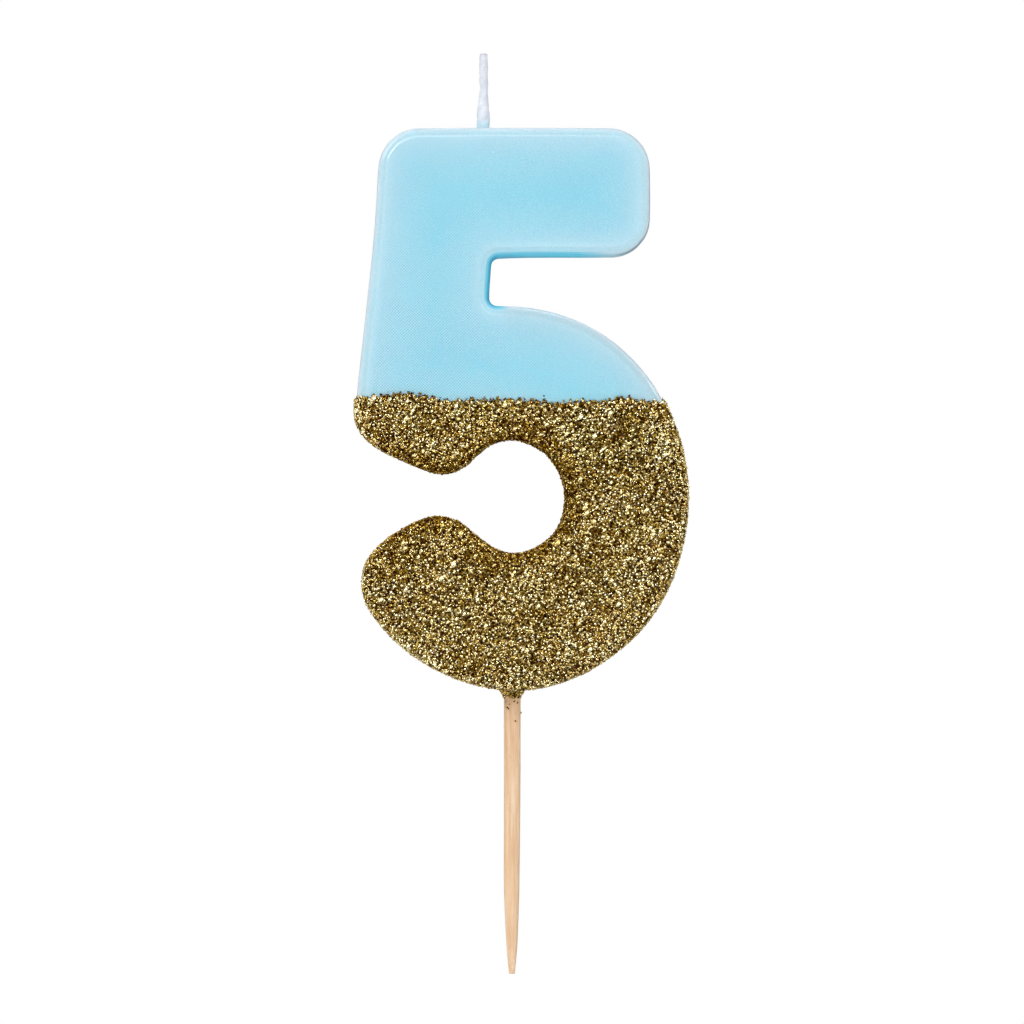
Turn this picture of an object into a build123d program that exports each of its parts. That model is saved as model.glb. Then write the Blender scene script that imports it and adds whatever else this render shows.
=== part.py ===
from build123d import *
import math
import os

# Number candle: a cast wax numeral 5 on a wooden pick, with a short wick in its top
# and a coat of loose glitter bonded round its lower half.
# Millimetres. +Z is up the pick, -Y is the front face, X runs across the numeral.
# Origin: on the pick's axis, where the bare pick leaves the glitter collar.

# ---------------------------------------------------------------- driving dimensions
# Wax numeral
wax_thickness = 8.0
front_round = 1.2            # rounded rim of the front face
back_round = 0.6             # smaller rounding on the poured back face
top_z = 71.80                # top of the upper bar
bar_right_x = 17.30          # right end of the upper bar
bar_top_corner_r = 5.25
bar_low_corner_r = 5.05
bar_under_z = 55.50          # underside of the upper bar
bar_left_corner_r = 5.30
bar_left_corner_x = -11.50   # centre of that corner
bar_left_lean = 5.0          # degrees the stem's left edge leans from upright
notch_corner_r = 1.50        # inner corner between bar and stem
notch_top_x = -2.50          # stem's right wall, just below the bar
notch_low_x = -2.80          # the same wall, just above the bowl
notch_low_z = 50.60
notch_low_r = 0.90
bowl_start_slope = -3.0      # degrees, where the notch's lower corner runs into the bowl

# The bowl, hook, counter, upper terminal and the stem's left edge, clockwise,
# as stations (x, z) on one smooth curve.
body_stations = [
    (0.80, 49.50), (3.70, 49.10), (7.91, 47.84), (11.55, 45.92), (14.79, 43.27),
    (17.78, 39.65), (19.99, 35.31), (21.37, 31.08), (21.92, 26.56), (21.57, 21.16),
    (20.37, 16.32), (18.54, 12.37), (16.05, 8.98), (12.69, 5.91), (8.77, 3.49),
    (4.89, 2.02), (1.39, 1.48), (-2.55, 1.71), (-6.82, 2.81), (-10.81, 4.72),
    (-14.51, 7.48), (-17.13, 10.39), (-18.32, 12.31), (-18.78, 14.15), (-18.71, 16.11),
    (-18.14, 17.92), (-17.01, 19.44), (-14.44, 21.37), (-11.56, 22.80), (-9.58, 23.22),
    (-7.70, 22.98), (-5.98, 22.19), (-2.98, 19.87), (-1.26, 18.98), (0.63, 18.72),
    (2.46, 19.21), (4.10, 20.18), (5.40, 21.56), (6.20, 23.28), (6.49, 25.16),
    (6.29, 27.10), (5.61, 28.97), (4.54, 30.56), (3.10, 31.79), (1.35, 32.53),
    (-0.54, 32.65), (-2.36, 32.12), (-4.15, 30.97), (-6.57, 29.13), (-8.39, 28.60),
    (-10.33, 28.82), (-14.09, 30.33), (-17.33, 32.08), (-18.76, 33.43), (-19.45, 35.18),
    (-19.52, 37.78), (-18.85, 44.26), (-18.14, 50.74), (-17.46, 57.22), (-17.02, 63.00),
]

# Glitter coat
adhesive_thickness = 0.10    # clear bond film on the wax
flake_thickness = 0.18       # layer of flakes on the film
flake_setback = 0.25         # the flakes stop this far short of the film's top edge
coat_slab_top_z = 41.0       # the slab the coat is trimmed from ends here
coat_line = [                # top edge of the coat, an uneven dip line, (x, z)
    (-24.0, 37.9), (-18.6, 38.05), (-16.1, 38.15), (-13.6, 38.5), (-10.8, 38.2),
    (-8.3, 37.55), (-5.2, 37.7), (0.0, 37.75), (3.2, 37.6), (5.6, 37.25),
    (8.4, 37.6), (11.4, 37.4), (13.9, 38.0), (16.6, 37.45), (19.0, 37.7), (24.0, 37.5),
]
coat_trim_floor_z = -6       # the trimming block reaches from the dip line down to here
coat_trim_half_depth = 12    # and this far to the front and to the back
coat_samples = 900           # steps along the body curve when it is moved outward
coat_sample_step = 5         # every fifth sample becomes a station of the coat's outline
coat_end_gap = 3             # samples left out next to each end of that outline
collar_top_z = 2.6
collar_low_z = 0.15
collar_lip_height = 0.7      # near-upright lip at the collar's lower end
collar_lip_flare = 0.06      # how much the lip widens over that height
collar_film_r = (2.1, 1.22)  # at its top and at its lower end
collar_flake_r = (2.5, 1.36)

# Wooden pick
pick_r = 1.125               # round stock
pick_point_z = -34.06
pick_point_r = 0.40          # blunt tip
pick_taper_z = -22.5         # the lower taper starts here
pick_inner_z = 14.5          # top of the cast-in end
pick_inner_r = 0.80          # the upper end tapers slightly inside the wax
pick_inner_chamfer = 0.35

# Wick
wick_x = -3.55
wick_free_r = 0.53
wick_tip_z = 81.20
wick_tip_r = 0.47
wick_dome_height = 0.85 * wick_tip_r
wick_dome_angle = 50         # degrees, sets the middle point of the dome's arc
wick_root_r = 0.50
hinge_z = 75.30              # the free end flexes here
cup_clearance = 0.02
boss_profile = [             # wax drawn up around the wick, (radius, z)
    (1.30, 71.50), (0.86, 72.05), (0.80, 72.9), (0.76, 73.9), (0.63, 74.94),
]
yarn_count = 3
yarn_r = 0.190
yarn_orbit_r = 0.228
yarn_pitch = 3.1
yarn_tip_gap = 0.18
yarn_overrun = 0.3           # spare length at each end, trimmed off square
yarn_trim_width = 4
root_path = [                # from the boss down the stem, (x from the wick's axis, z)
    (0.0, 74.70), (0.0, 71.8), (0.0, 68.5), (-1.7, 64.0),
    (-4.6, 58.5), (-6.2, 53.0), (-6.5, 47.0), (-6.5, 41.0),
]


# ---------------------------------------------------------------- shared helpers
def polar(centre, radius, angle):
    """A point in the numeral's plane, at an angle in degrees round a centre (x, z)."""
    turn = math.radians(angle)
    return Vector(centre[0] + radius * math.cos(turn), 0, centre[1] + radius * math.sin(turn))


def corner(centre, radius, start, end):
    """An arc round a corner, between two angles."""
    return ThreePointArc(*[
        polar(centre, radius, angle) for angle in (start, (start + end) / 2, end)
    ])


def turned(profile):
    """A closed profile of (radius, z) points, revolved round the Z axis."""
    side = Polyline(*[(radius, 0, z) for radius, z in profile], close=True)
    return revolve(Face(Wire(side.edges())), Axis.Z)


def upright_slab(wire, half):
    """An outline in the XZ plane, extruded from y -half to y +half."""
    return extrude(Face(wire), amount=half, dir=(0, 1, 0), both=True)


def rim_edges(solid, y):
    """Edges lying in the face at y, without the straight cut at the coat slab's top."""
    return [
        e for e in solid.edges()
        if abs(e.center(CenterOf.BOUNDING_BOX).Y - y) < 1e-4
        and e.bounding_box().size.Y < 1e-4
        and not (e.geom_type == GeomType.LINE and abs(e.center().Z - coat_slab_top_z) < 1e-3)
    ]


def rounded_slab(wire, outward=0):
    """A slab as thick as the wax, grown by outward, with both rims rounded."""
    half = wax_thickness / 2 + outward
    solid = upright_slab(wire, half)
    solid = fillet(rim_edges(solid, -half), front_round + outward)
    return fillet(rim_edges(solid, half), back_round + outward)


# ---------------------------------------------------------------- wax numeral
def numeral_outline():
    """The closed outline, and the body curve that the glitter coat follows."""
    top_corner = corner(
        (bar_right_x - bar_top_corner_r, top_z - bar_top_corner_r), bar_top_corner_r, 90, 0
    )
    low_corner = corner(
        (bar_right_x - bar_low_corner_r, bar_under_z + bar_low_corner_r),
        bar_low_corner_r, 0, -90,
    )
    left_corner = corner(
        (bar_left_corner_x, top_z - bar_left_corner_r),
        bar_left_corner_r, 180 - bar_left_lean, 90,
    )

    # The stem's right wall leans slightly and is tangent to both notch corners.
    notch_z = bar_under_z - notch_corner_r
    lean = math.atan2(notch_top_x - notch_low_x, notch_z - notch_low_z)
    wall_angle = 180 - math.degrees(lean)
    notch_corner = corner(
        (notch_top_x + notch_corner_r * math.cos(lean), notch_z),
        notch_corner_r, 90, wall_angle,
    )
    wall_top = notch_corner @ 1
    wall_length = (wall_top.Z - notch_low_z) / math.cos(lean)
    wall_low = wall_top + Vector(-math.sin(lean), 0, -math.cos(lean)) * wall_length
    low_notch = corner(
        (wall_low.X + notch_low_r * math.cos(lean), wall_low.Z - notch_low_r * math.sin(lean)),
        notch_low_r, wall_angle, 270 + bowl_start_slope,
    )

    body = Spline(
        low_notch @ 1, *[Vector(x, 0, z) for x, z in body_stations], left_corner @ 0,
        tangents=[low_notch % 1, left_corner % 0], tangent_scalars=[1, 1],
    )
    outline = Wire([
        left_corner.edge(),
        Line(left_corner @ 1, top_corner @ 0),
        top_corner.edge(),
        Line(top_corner @ 1, low_corner @ 0),
        low_corner.edge(),
        Line(low_corner @ 1, notch_corner @ 0),
        notch_corner.edge(),
        Line(wall_top, wall_low),
        low_notch.edge(),
        body.edge(),
    ])
    return outline, body


def wick_boss():
    """The cone of wax round the foot of the wick."""
    foot_z, tip_z = boss_profile[0][1], boss_profile[-1][1]
    return Pos(wick_x, 0, 0) * turned([(0, foot_z), *boss_profile, (0, tip_z)])


# ---------------------------------------------------------------- wooden pick
def wooden_pick():
    return turned([
        (0, pick_point_z),
        (pick_point_r, pick_point_z),
        (pick_r, pick_taper_z),
        (pick_r, 0),
        (pick_inner_r, pick_inner_z - pick_inner_chamfer),
        (pick_inner_r - pick_inner_chamfer, pick_inner_z),
        (0, pick_inner_z),
    ])


# ---------------------------------------------------------------- wick
def wick_root_rod():
    """The cast-in length of wick, swept down the stem."""
    down = Vector(0, 0, -1)
    path = Spline(
        *[Vector(wick_x + x, 0, z) for x, z in root_path],
        tangents=[down, down], tangent_scalars=[1, 1],
    )
    return sweep(Plane(origin=path @ 0, z_dir=path % 0) * Circle(wick_root_r), path=path)


def wick_yarns():
    """Helical yarns laid round the wick's axis, cut square at both ends."""
    top = wick_tip_z - yarn_tip_gap
    lay = Helix(
        pitch=yarn_pitch, height=top - hinge_z + 2 * yarn_overrun,
        radius=yarn_orbit_r, center=(0, 0, hinge_z - yarn_overrun),
    )
    section = Plane(origin=lay @ 0, z_dir=lay % 0) * Circle(yarn_r)
    strand = sweep(section, path=lay, is_frenet=True)
    trim = Box(yarn_trim_width, yarn_trim_width, top - hinge_z)
    span = Pos(0, 0, (hinge_z + top) / 2) * trim
    return [
        Pos(wick_x, 0, 0) * ((Rot(0, 0, 360 / yarn_count * i) * strand) & span)
        for i in range(yarn_count)
    ]


def wick_skin(yarns):
    """Wax round the yarns, domed at the tip and ball-ended at the hinge."""
    dome_turn = math.radians(wick_dome_angle)
    ball_turn = math.radians(45)
    tip = (0, 0, wick_tip_z)
    dome_middle = (
        wick_tip_r * math.sin(dome_turn), 0,
        wick_tip_z - wick_dome_height * (1 - math.cos(dome_turn)),
    )
    dome_edge = (wick_tip_r, 0, wick_tip_z - wick_dome_height)
    ball_edge = (wick_free_r, 0, hinge_z)
    ball_middle = (
        wick_free_r * math.cos(ball_turn), 0, hinge_z - wick_free_r * math.sin(ball_turn)
    )
    ball_low = (0, 0, hinge_z - wick_free_r)
    profile = Wire([
        Line(ball_low, tip),
        ThreePointArc(tip, dome_middle, dome_edge),
        Line(dome_edge, ball_edge),
        ThreePointArc(ball_edge, ball_middle, ball_low),
    ])
    skin = Pos(wick_x, 0, 0) * revolve(Face(profile), Axis.Z)
    for yarn in yarns:
        skin = skin - yarn
    return skin


# ---------------------------------------------------------------- glitter coat
def coat_wire(body, outward):
    """The lower half's outline, moved outward, closed across the stem and bowl."""
    points = []
    for i in range(coat_samples + 1):
        place = body @ (i / coat_samples)
        tangent = body % (i / coat_samples)
        points.append(Vector(place.X - tangent.Z * outward, 0, place.Z + tangent.X * outward))
    low = [p for p in points if p.Z <= coat_slab_top_z]

    # Where the moved curve crosses the slab's top
    ends = []
    for here, ahead in zip(points, points[1:]):
        if (here.Z - coat_slab_top_z) * (ahead.Z - coat_slab_top_z) < 0:
            share = (coat_slab_top_z - here.Z) / (ahead.Z - here.Z)
            ends.append(Vector(here.X + share * (ahead.X - here.X), 0, coat_slab_top_z))
    right = max(ends, key=lambda end: end.X)
    left = min(ends, key=lambda end: end.X)
    side = Spline(right, *low[coat_end_gap:-coat_end_gap:coat_sample_step], left)
    return Wire([side.edge(), Line(left, right)])


def collar(top_r, low_r):
    """The flared collar where the coat runs down onto the pick."""
    return turned([
        (0, collar_low_z),
        (low_r, collar_low_z),
        (low_r + collar_lip_flare, collar_low_z + collar_lip_height),
        (top_r, collar_top_z),
        (0, collar_top_z),
    ])


def coat_envelope(body, outward, collar_radii):
    """Everything inside a coat surface that stands outward of the wax."""
    return rounded_slab(coat_wire(body, outward), outward) + collar(*collar_radii)


def below_line(drop):
    """Everything below the dip line, lowered by drop."""
    line = Spline(*[Vector(x, 0, z - drop) for x, z in coat_line])
    left, right = line @ 0, line @ 1
    low_left = (left.X, 0, coat_trim_floor_z)
    low_right = (right.X, 0, coat_trim_floor_z)
    region = Wire([
        line.edge(), Line(right, low_right), Line(low_right, low_left), Line(low_left, left),
    ])
    return upright_slab(region, coat_trim_half_depth)


# ---------------------------------------------------------------- assembly
outline, body_curve = numeral_outline()
wax_blank = rounded_slab(outline)
pick = wooden_pick()

# The root ends in a cup that takes the free end's ball.
cup = Pos(wick_x, 0, hinge_z) * Sphere(wick_free_r + cup_clearance)
wick_root = wick_root_rod() - cup
yarns = wick_yarns()
numeral = (wax_blank + wick_boss()) - pick - wick_root - cup

film_outer = coat_envelope(body_curve, adhesive_thickness, collar_film_r)
flake_outer = coat_envelope(body_curve, adhesive_thickness + flake_thickness, collar_flake_r)
film = (film_outer & below_line(0)) - wax_blank - pick
flakes = (flake_outer & below_line(flake_setback)) - film_outer - wax_blank - pick

# ---------------------------------------------------------------- export
pieces = {
    "numeral_wax": numeral,
    "wooden_pick": pick,
    "wick_root": wick_root,
    **{f"wick_yarn_{i + 1}": yarn for i, yarn in enumerate(yarns)},
    "wick_wax_skin": wick_skin(yarns),
    "glitter_bond_film": film,
    "glitter_flake_layer": flakes,
}

os.makedirs("parts", exist_ok=True)
for name, shape in pieces.items():
    solids = shape.solids()
    piece = solids[0] if len(solids) == 1 else Compound(children=list(solids))
    piece.label = name
    export_step(piece, os.path.join("parts", name + ".step"))
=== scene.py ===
import math

import bmesh
import bpy
import numpy as np
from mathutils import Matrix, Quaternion, Vector, geometry


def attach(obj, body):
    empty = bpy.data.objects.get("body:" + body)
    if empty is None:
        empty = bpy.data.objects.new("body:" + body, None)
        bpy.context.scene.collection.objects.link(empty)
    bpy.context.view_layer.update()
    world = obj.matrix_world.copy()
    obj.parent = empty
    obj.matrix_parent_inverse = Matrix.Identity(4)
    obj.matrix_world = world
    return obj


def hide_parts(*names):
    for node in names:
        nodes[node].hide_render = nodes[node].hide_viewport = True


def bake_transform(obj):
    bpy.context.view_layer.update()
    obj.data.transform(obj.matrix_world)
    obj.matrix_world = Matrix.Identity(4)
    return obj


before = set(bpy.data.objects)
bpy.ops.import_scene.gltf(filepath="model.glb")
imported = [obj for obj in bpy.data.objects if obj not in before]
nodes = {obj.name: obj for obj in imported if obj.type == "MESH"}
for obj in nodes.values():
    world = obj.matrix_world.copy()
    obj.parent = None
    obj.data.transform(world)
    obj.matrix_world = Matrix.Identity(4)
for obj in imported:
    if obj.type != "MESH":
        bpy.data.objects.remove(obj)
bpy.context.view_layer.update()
MM = 0.001
rng = np.random.default_rng(20511)
scene = bpy.context.scene


# ------------------------------------------------------------------ mesh helpers
def make_mesh(name, verts, faces, smooth=True):
    mesh = bpy.data.meshes.new(name)
    mesh.from_pydata([tuple(v) for v in verts], [], [tuple(f) for f in faces])
    mesh.validate()
    mesh.update()
    if smooth:
        mesh.polygons.foreach_set("use_smooth", [True] * len(mesh.polygons))
    obj = bpy.data.objects.new(name, mesh)
    scene.collection.objects.link(obj)
    return obj


def point_attribute(obj, name, values):
    a = obj.data.attributes.new(name, "FLOAT", "POINT")
    a.data.foreach_set("value", np.asarray(values, np.float32))


def smooth_noise(p, scale, seed):
    """Cheap smooth noise in about -1..1 at points p (n x 3, millimetres)."""
    r = np.random.default_rng(seed)
    total = np.zeros(len(p))
    for _ in range(7):
        k = r.normal(size=3)
        k *= (2 * math.pi / scale) * r.uniform(0.6, 1.5) / np.linalg.norm(k)
        total += np.sin(p @ k + r.uniform(0, 2 * math.pi))
    return total / 3.2


def grain(p, cell, seed):
    """Value noise on a lattice of the given cell size, -1..1, for crumbly surfaces."""
    q = p / cell
    i = np.floor(q).astype(np.int64)
    f = q - i
    f = f * f * (3 - 2 * f)
    out = np.zeros(len(p))
    for dx in (0, 1):
        for dy in (0, 1):
            for dz in (0, 1):
                n = (i + (dx, dy, dz))
                h = (n[:, 0] * 73856093) ^ (n[:, 1] * 19349663) ^ (n[:, 2] * 83492791) ^ (seed * 2654435761)
                h = (h ^ (h >> 13)) * 1274126177
                v = ((h ^ (h >> 16)) & 0xFFFF) / 32767.5 - 1.0
                w = (f[:, 0] if dx else 1 - f[:, 0]) * (f[:, 1] if dy else 1 - f[:, 1]) * (f[:, 2] if dz else 1 - f[:, 2])
                out += v * w
    return out


# ------------------------------------------------------------------ the numeral's outline, read from the frame
def read_outline(node, y_mm):
    """The closed outline of a slab's side wall at the ring of points at y_mm, clockwise seen from the front:
    positions (x, z) and outward normals, in millimetres."""
    mesh = nodes[node].data
    co = np.zeros(len(mesh.vertices) * 3, np.float32)
    mesh.vertices.foreach_get("co", co)
    co = co.reshape(-1, 3).astype(float) / MM
    nv = np.zeros(len(mesh.loops) * 3, np.float32)
    mesh.corner_normals.foreach_get("vector", nv)
    nv = nv.reshape(-1, 3).astype(float)
    lv = np.zeros(len(mesh.loops), np.int32)
    mesh.loops.foreach_get("vertex_index", lv)
    on_ring = np.abs(co[:, 1] - y_mm) < 0.01
    key = {}
    ident = np.full(len(co), -1)
    for i in np.where(on_ring)[0]:
        k = (round(co[i, 0], 3), round(co[i, 2], 3))
        ident[i] = key.setdefault(k, len(key))
    pts = np.zeros((len(key), 2))
    nrm = np.zeros((len(key), 2))
    for k, j in key.items():
        pts[j] = k
    for loop in np.where(on_ring[lv])[0]:
        if abs(nv[loop, 1]) < 0.05:
            nrm[ident[lv[loop]]] += nv[loop, [0, 2]]
    links = {}
    ev = np.zeros(len(mesh.edges) * 2, np.int32)
    mesh.edges.foreach_get("vertices", ev)
    for a, b in ev.reshape(-1, 2):
        if on_ring[a] and on_ring[b] and ident[a] != ident[b]:
            links.setdefault(ident[a], set()).add(ident[b])
            links.setdefault(ident[b], set()).add(ident[a])
    best = []
    seen = set()
    for s in links:
        if s in seen:
            continue
        order, cur, prev = [s], s, None
        seen.add(s)
        while True:
            nxt = [n for n in links[cur] if n != prev and n not in seen]
            if not nxt:
                break
            prev, cur = cur, nxt[0]
            seen.add(cur)
            order.append(cur)
        if len(order) > len(best):
            best = order
    p, n = pts[best], nrm[best]
    n /= np.maximum(np.linalg.norm(n, axis=1), 1e-9)[:, None]
    area = 0.5 * np.sum(p[:, 0] * np.roll(p[:, 1], -1) - np.roll(p[:, 0], -1) * p[:, 1])
    if area > 0:
        p, n = p[::-1], n[::-1]
    return p, n


def resample(p, n, step):
    """Even stations on the smooth curve through p with outward normals n."""
    t = np.c_[n[:, 1], -n[:, 0]]
    if np.sum(t * (np.roll(p, -1, axis=0) - p)) < 0:
        t = -t
    q, s = np.roll(p, -1, axis=0), np.roll(t, -1, axis=0)
    d = np.linalg.norm(q - p, axis=1)
    fine = []
    for i in range(len(p)):
        m = max(2, int(d[i] / 0.02))
        u = np.linspace(0, 1, m, endpoint=False)[:, None]
        h = d[i]
        fine.append((2 * u**3 - 3 * u**2 + 1) * p[i] + (u**3 - 2 * u**2 + u) * h * t[i]
                    + (-2 * u**3 + 3 * u**2) * q[i] + (u**3 - u**2) * h * s[i])
    fine = np.vstack(fine)
    seg = np.linalg.norm(np.roll(fine, -1, axis=0) - fine, axis=1)
    cum = np.r_[0, np.cumsum(seg)]
    count = int(round(cum[-1] / step))
    at = np.linspace(0, cum[-1], count, endpoint=False)
    closed = np.vstack([fine, fine[:1]])
    out = np.c_[np.interp(at, cum, closed[:, 0]), np.interp(at, cum, closed[:, 1])]
    tan = np.roll(out, -1, axis=0) - np.roll(out, 1, axis=0)
    tan /= np.linalg.norm(tan, axis=1)[:, None]
    return out, np.c_[-tan[:, 1], tan[:, 0]]


ring_y = -4.0 + 1.2
outline_raw, normals_raw = read_outline("numeral_wax", ring_y)
outline, outward = resample(outline_raw, normals_raw, 0.30)
if np.mean(np.sum(outward * (outline - outline.mean(0)), axis=1)) < 0:
    outward = -outward


def tighten(points, corner, reach, radius):
    """Redraw one inside corner of the outline with a smaller round; returns points before even spacing."""
    d = np.linalg.norm(points - corner, axis=1)
    near = np.where(d < reach)[0]
    if near[-1] - near[0] > len(points) / 2:
        shift = len(points) // 2
        points = np.roll(points, shift, axis=0)
        d = np.linalg.norm(points - corner, axis=1)
        near = np.where(d < reach)[0]
    i, j = near[0], near[-1]
    a, b = points[i], points[j]
    ta = points[i] - points[i - 4]
    tb = points[j] - points[(j + 4) % len(points)]
    ta, tb = ta / np.linalg.norm(ta), tb / np.linalg.norm(tb)
    m = np.array([ta, -tb]).T
    u = np.linalg.solve(m, b - a)[0]
    apex = a + ta * u
    ea, eb = (a - apex) / np.linalg.norm(a - apex), (b - apex) / np.linalg.norm(b - apex)
    half_angle = math.acos(float(np.clip(ea @ eb, -1, 1))) / 2
    back = radius / math.tan(half_angle)
    bis = (ea + eb) / np.linalg.norm(ea + eb)
    centre = apex + bis * radius / math.sin(half_angle)
    p0, p1 = apex + ea * back, apex + eb * back
    a0 = math.atan2(*(p0 - centre)[::-1])
    a1 = math.atan2(*(p1 - centre)[::-1])
    sweep = (a1 - a0 + math.pi) % (2 * math.pi) - math.pi
    arc = [centre + radius * np.array([math.cos(a0 + sweep * k), math.sin(a0 + sweep * k)]) for k in np.linspace(0, 1, 9)]
    return np.vstack([points[:i + 1], np.array(arc), points[j:]])


def even(points, step):
    seg = np.linalg.norm(np.roll(points, -1, axis=0) - points, axis=1)
    cum = np.r_[0, np.cumsum(seg)]
    at = np.linspace(0, cum[-1], int(round(cum[-1] / step)), endpoint=False)
    closed = np.vstack([points, points[:1]])
    out = np.c_[np.interp(at, cum, closed[:, 0]), np.interp(at, cum, closed[:, 1])]
    tan = np.roll(out, -1, axis=0) - np.roll(out, 1, axis=0)
    tan /= np.linalg.norm(tan, axis=1)[:, None]
    return out, np.c_[-tan[:, 1], tan[:, 0]]


outline, outward = even(tighten(outline, np.array([-2.65, 55.5]), 2.2, 0.75), 0.28)
if np.mean(np.sum(outward * (outline - outline.mean(0)), axis=1)) < 0:
    outward = -outward

# where the edge sits a little inside the frame's outline: x, z of the place and how far in, millimetres
trims = np.array([
    (21.8, 33.4, 0.03), (22.3, 29.6, 0.07), (22.6, 25.9, 0.05), (22.1, 22.1, 0.04), (21.3, 18.4, 0.09), (20.0, 14.6, 0.10),
    (17.9, 11.3, 0.12), (15.5, 8.4, 0.10), (12.5, 5.9, 0.18), (9.5, 4.0, 0.13), (6.5, 2.8, 0.18), (3.5, 2.0, 0.17),
    (-2.5, 2.0, 0.16), (-5.5, 2.6, 0.18), (-8.5, 3.8, 0.20), (-11.5, 5.3, 0.19), (-14.5, 7.4, 0.20), (-17.3, 10.0, 0.21),
    (-18.5, 12.1, 0.24), (-18.9, 14.0, 0.20), (-18.6, 16.5, 0.22), (-17.5, 19.3, 0.38),
    (-16.5, 20.5, 0.36), (-14.6, 21.4, 0.38), (-12.5, 22.0, 0.36), (-10.3, 22.0, 0.22), (-7.8, 21.3, 0.26), (-5.3, 19.6, 0.40),
    (-2.8, 18.9, 0.40), (-0.3, 18.6, 0.37), (2.3, 19.1, 0.40), (4.4, 20.1, 0.36),
    (5.1, 21.3, 0.38), (5.9, 23.4, 0.34), (6.1, 25.6, 0.34), (6.0, 27.8, 0.37), (5.3, 30.0, 0.30),
    (4.5, 30.8, 0.28), (2.3, 32.0, 0.18), (-0.3, 32.5, 0.32), (-2.8, 32.0, 0.38), (-4.6, 30.9, 0.26),
    (-6.5, 29.6, 0.16), (-9.0, 28.6, 0.14), (-11.5, 28.6, 0.25), (-14.0, 29.5, 0.20), (-16.5, 30.5, 0.18), (-19.0, 31.9, 0.20),
    (-1.5, 55.5, 0.05), (1.0, 55.5, 0.06), (3.5, 55.5, 0.08), (6.0, 55.5, 0.12), (8.5, 55.5, 0.16), (11.0, 55.6, 0.19), (13.3, 55.9, 0.18), (14.8, 56.5, 0.06)])
reach_w = np.exp(-((outline[:, None, :] - trims[None, :, :2]) ** 2).sum(2) / 1.6 ** 2)
trim = (reach_w * trims[:, 2]).sum(1) / np.maximum(reach_w.sum(1), 0.25)
outline, outward = even(outline - outward * trim[:, None], 0.28)
if np.mean(np.sum(outward * (outline - outline.mean(0)), axis=1)) < 0:
    outward = -outward
ox, oz = outline[:, 0], outline[:, 1]
outline[:, 0] -= 0.09 * np.exp(-((ox + 2.7) / 0.7) ** 2) * np.clip((56.2 - oz) / 1.2, 0, 1) * np.clip((oz - 49.0) / 3.0, 0, 1)
print("outline stations", len(outline), "from", len(outline_raw))
ox, oz = outline[:, 0], outline[:, 1]
on_wall = (ox > -3.4) & (ox < -1.6) & (oz > 49.3) & (oz < 55.9)
on_bar = (oz > 54.6) & (oz < 56.2) & (ox > -2.8) & (ox < 17.0) & (outward[:, 1] < -0.5)
on_low = (oz > 48.0) & (oz < 50.6) & (ox > -3.2) & (ox < 2.0)
notch_weight = np.zeros(len(outline))
notch_weight[on_wall] = 1.0
notch_weight[on_bar] = np.maximum(notch_weight[on_bar], np.interp(ox[on_bar], [2.0, 8.0, 13.5], [1.0, 0.62, 0.0]))
notch_weight[on_low] = np.maximum(notch_weight[on_low], np.interp(ox[on_low], [-2.2, -0.3], [1.0, 0.0]))
kernel = np.array([1, 2, 3, 2, 1]) / 9.0
notch_weight = np.convolve(np.r_[notch_weight[-2:], notch_weight, notch_weight[:2]], kernel, "valid")
shade_side = np.clip(outward @ np.array([0.92, -0.38]), 0, 1)
hole_weight = ((oz < 34.0) & (oz > 17.0) & (ox > -19.2) & (ox < 7.5)).astype(float)
hole_weight *= np.clip((ox + 18.0) / 4.0, 0, 1)
bowl_weight = ((ox > -1.0) & (oz > 36.5) & (oz < 50.5)).astype(float)


extra_draft = 0.13


def ring_body(name, profile, cap_step, cap_y, front_wave=0.0):
    """A closed slab from the outline: profile is a list of (inset, y) from the back cap's rim round to the front cap's rim."""
    n = len(outline)
    verts, inset = [], []
    for d, y in profile:
        lean = np.clip((3.4 - y) / 6.6, 0, 1) if d < 3 else 1.0
        ring = outline - outward * (d + extra_draft * notch_weight[:, None] * lean)
        verts.append(np.c_[ring[:, 0], np.full(n, y), ring[:, 1]])
        inset += [d] * n
    verts = np.vstack(verts)
    faces = []
    for r in range(len(profile) - 1):
        a, b = r * n, (r + 1) * n
        for i in range(n):
            j = (i + 1) % n
            faces.append((a + i, b + i, b + j, a + j))
    for side, base in (("back", 0), ("front", (len(profile) - 1) * n)):
        ring = verts[base:base + n][:, [0, 2]]
        lo, hi = ring.min(0), ring.max(0)
        inner = []
        y = profile[0][1] if side == "back" else profile[-1][1]
        edge_d = profile[0][0] if side == "back" else profile[-1][0]
        gx = np.arange(lo[0], hi[0], cap_step)
        rows = np.arange(lo[1], hi[1], cap_step * 0.866)
        for k, z in enumerate(rows):
            for x in gx + (cap_step / 2 if k % 2 else 0):
                inner.append((x, z))
        inner = np.array(inner)
        inner = inner[inside(ring, inner)]
        gap = np.min(np.linalg.norm(inner[:, None, :] - ring[None, ::2, :], axis=2), axis=1)
        inner = inner[gap > cap_step * 0.55]
        pts = [Vector((float(x), float(z))) for x, z in np.vstack([ring, inner])]
        edges = [(i, (i + 1) % n) for i in range(n)]
        out_v, _, out_f, src, _, _ = geometry.delaunay_2d_cdt(pts, edges, [list(range(n))], 1, 1e-5)
        remap, extra = {}, []
        for i, s in enumerate(src):
            if s and s[0] < n:
                remap[i] = base + s[0]
            else:
                remap[i] = len(verts) + len(extra)
                extra.append((out_v[i][0], y, out_v[i][1]))
                inset.append(edge_d + 3.0)
        if extra:
            verts = np.vstack([verts, np.array(extra)])
        for f in out_f:
            f = [remap[i] for i in f]
            a, b, c = (verts[f[0]], verts[f[1]], verts[f[2]])
            up = np.cross(b - a, c - a)[1]
            if (up < 0) != (side == "front"):
                f = f[::-1]
            faces.append(tuple(f))
    return verts, faces, np.array(inset)


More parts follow.
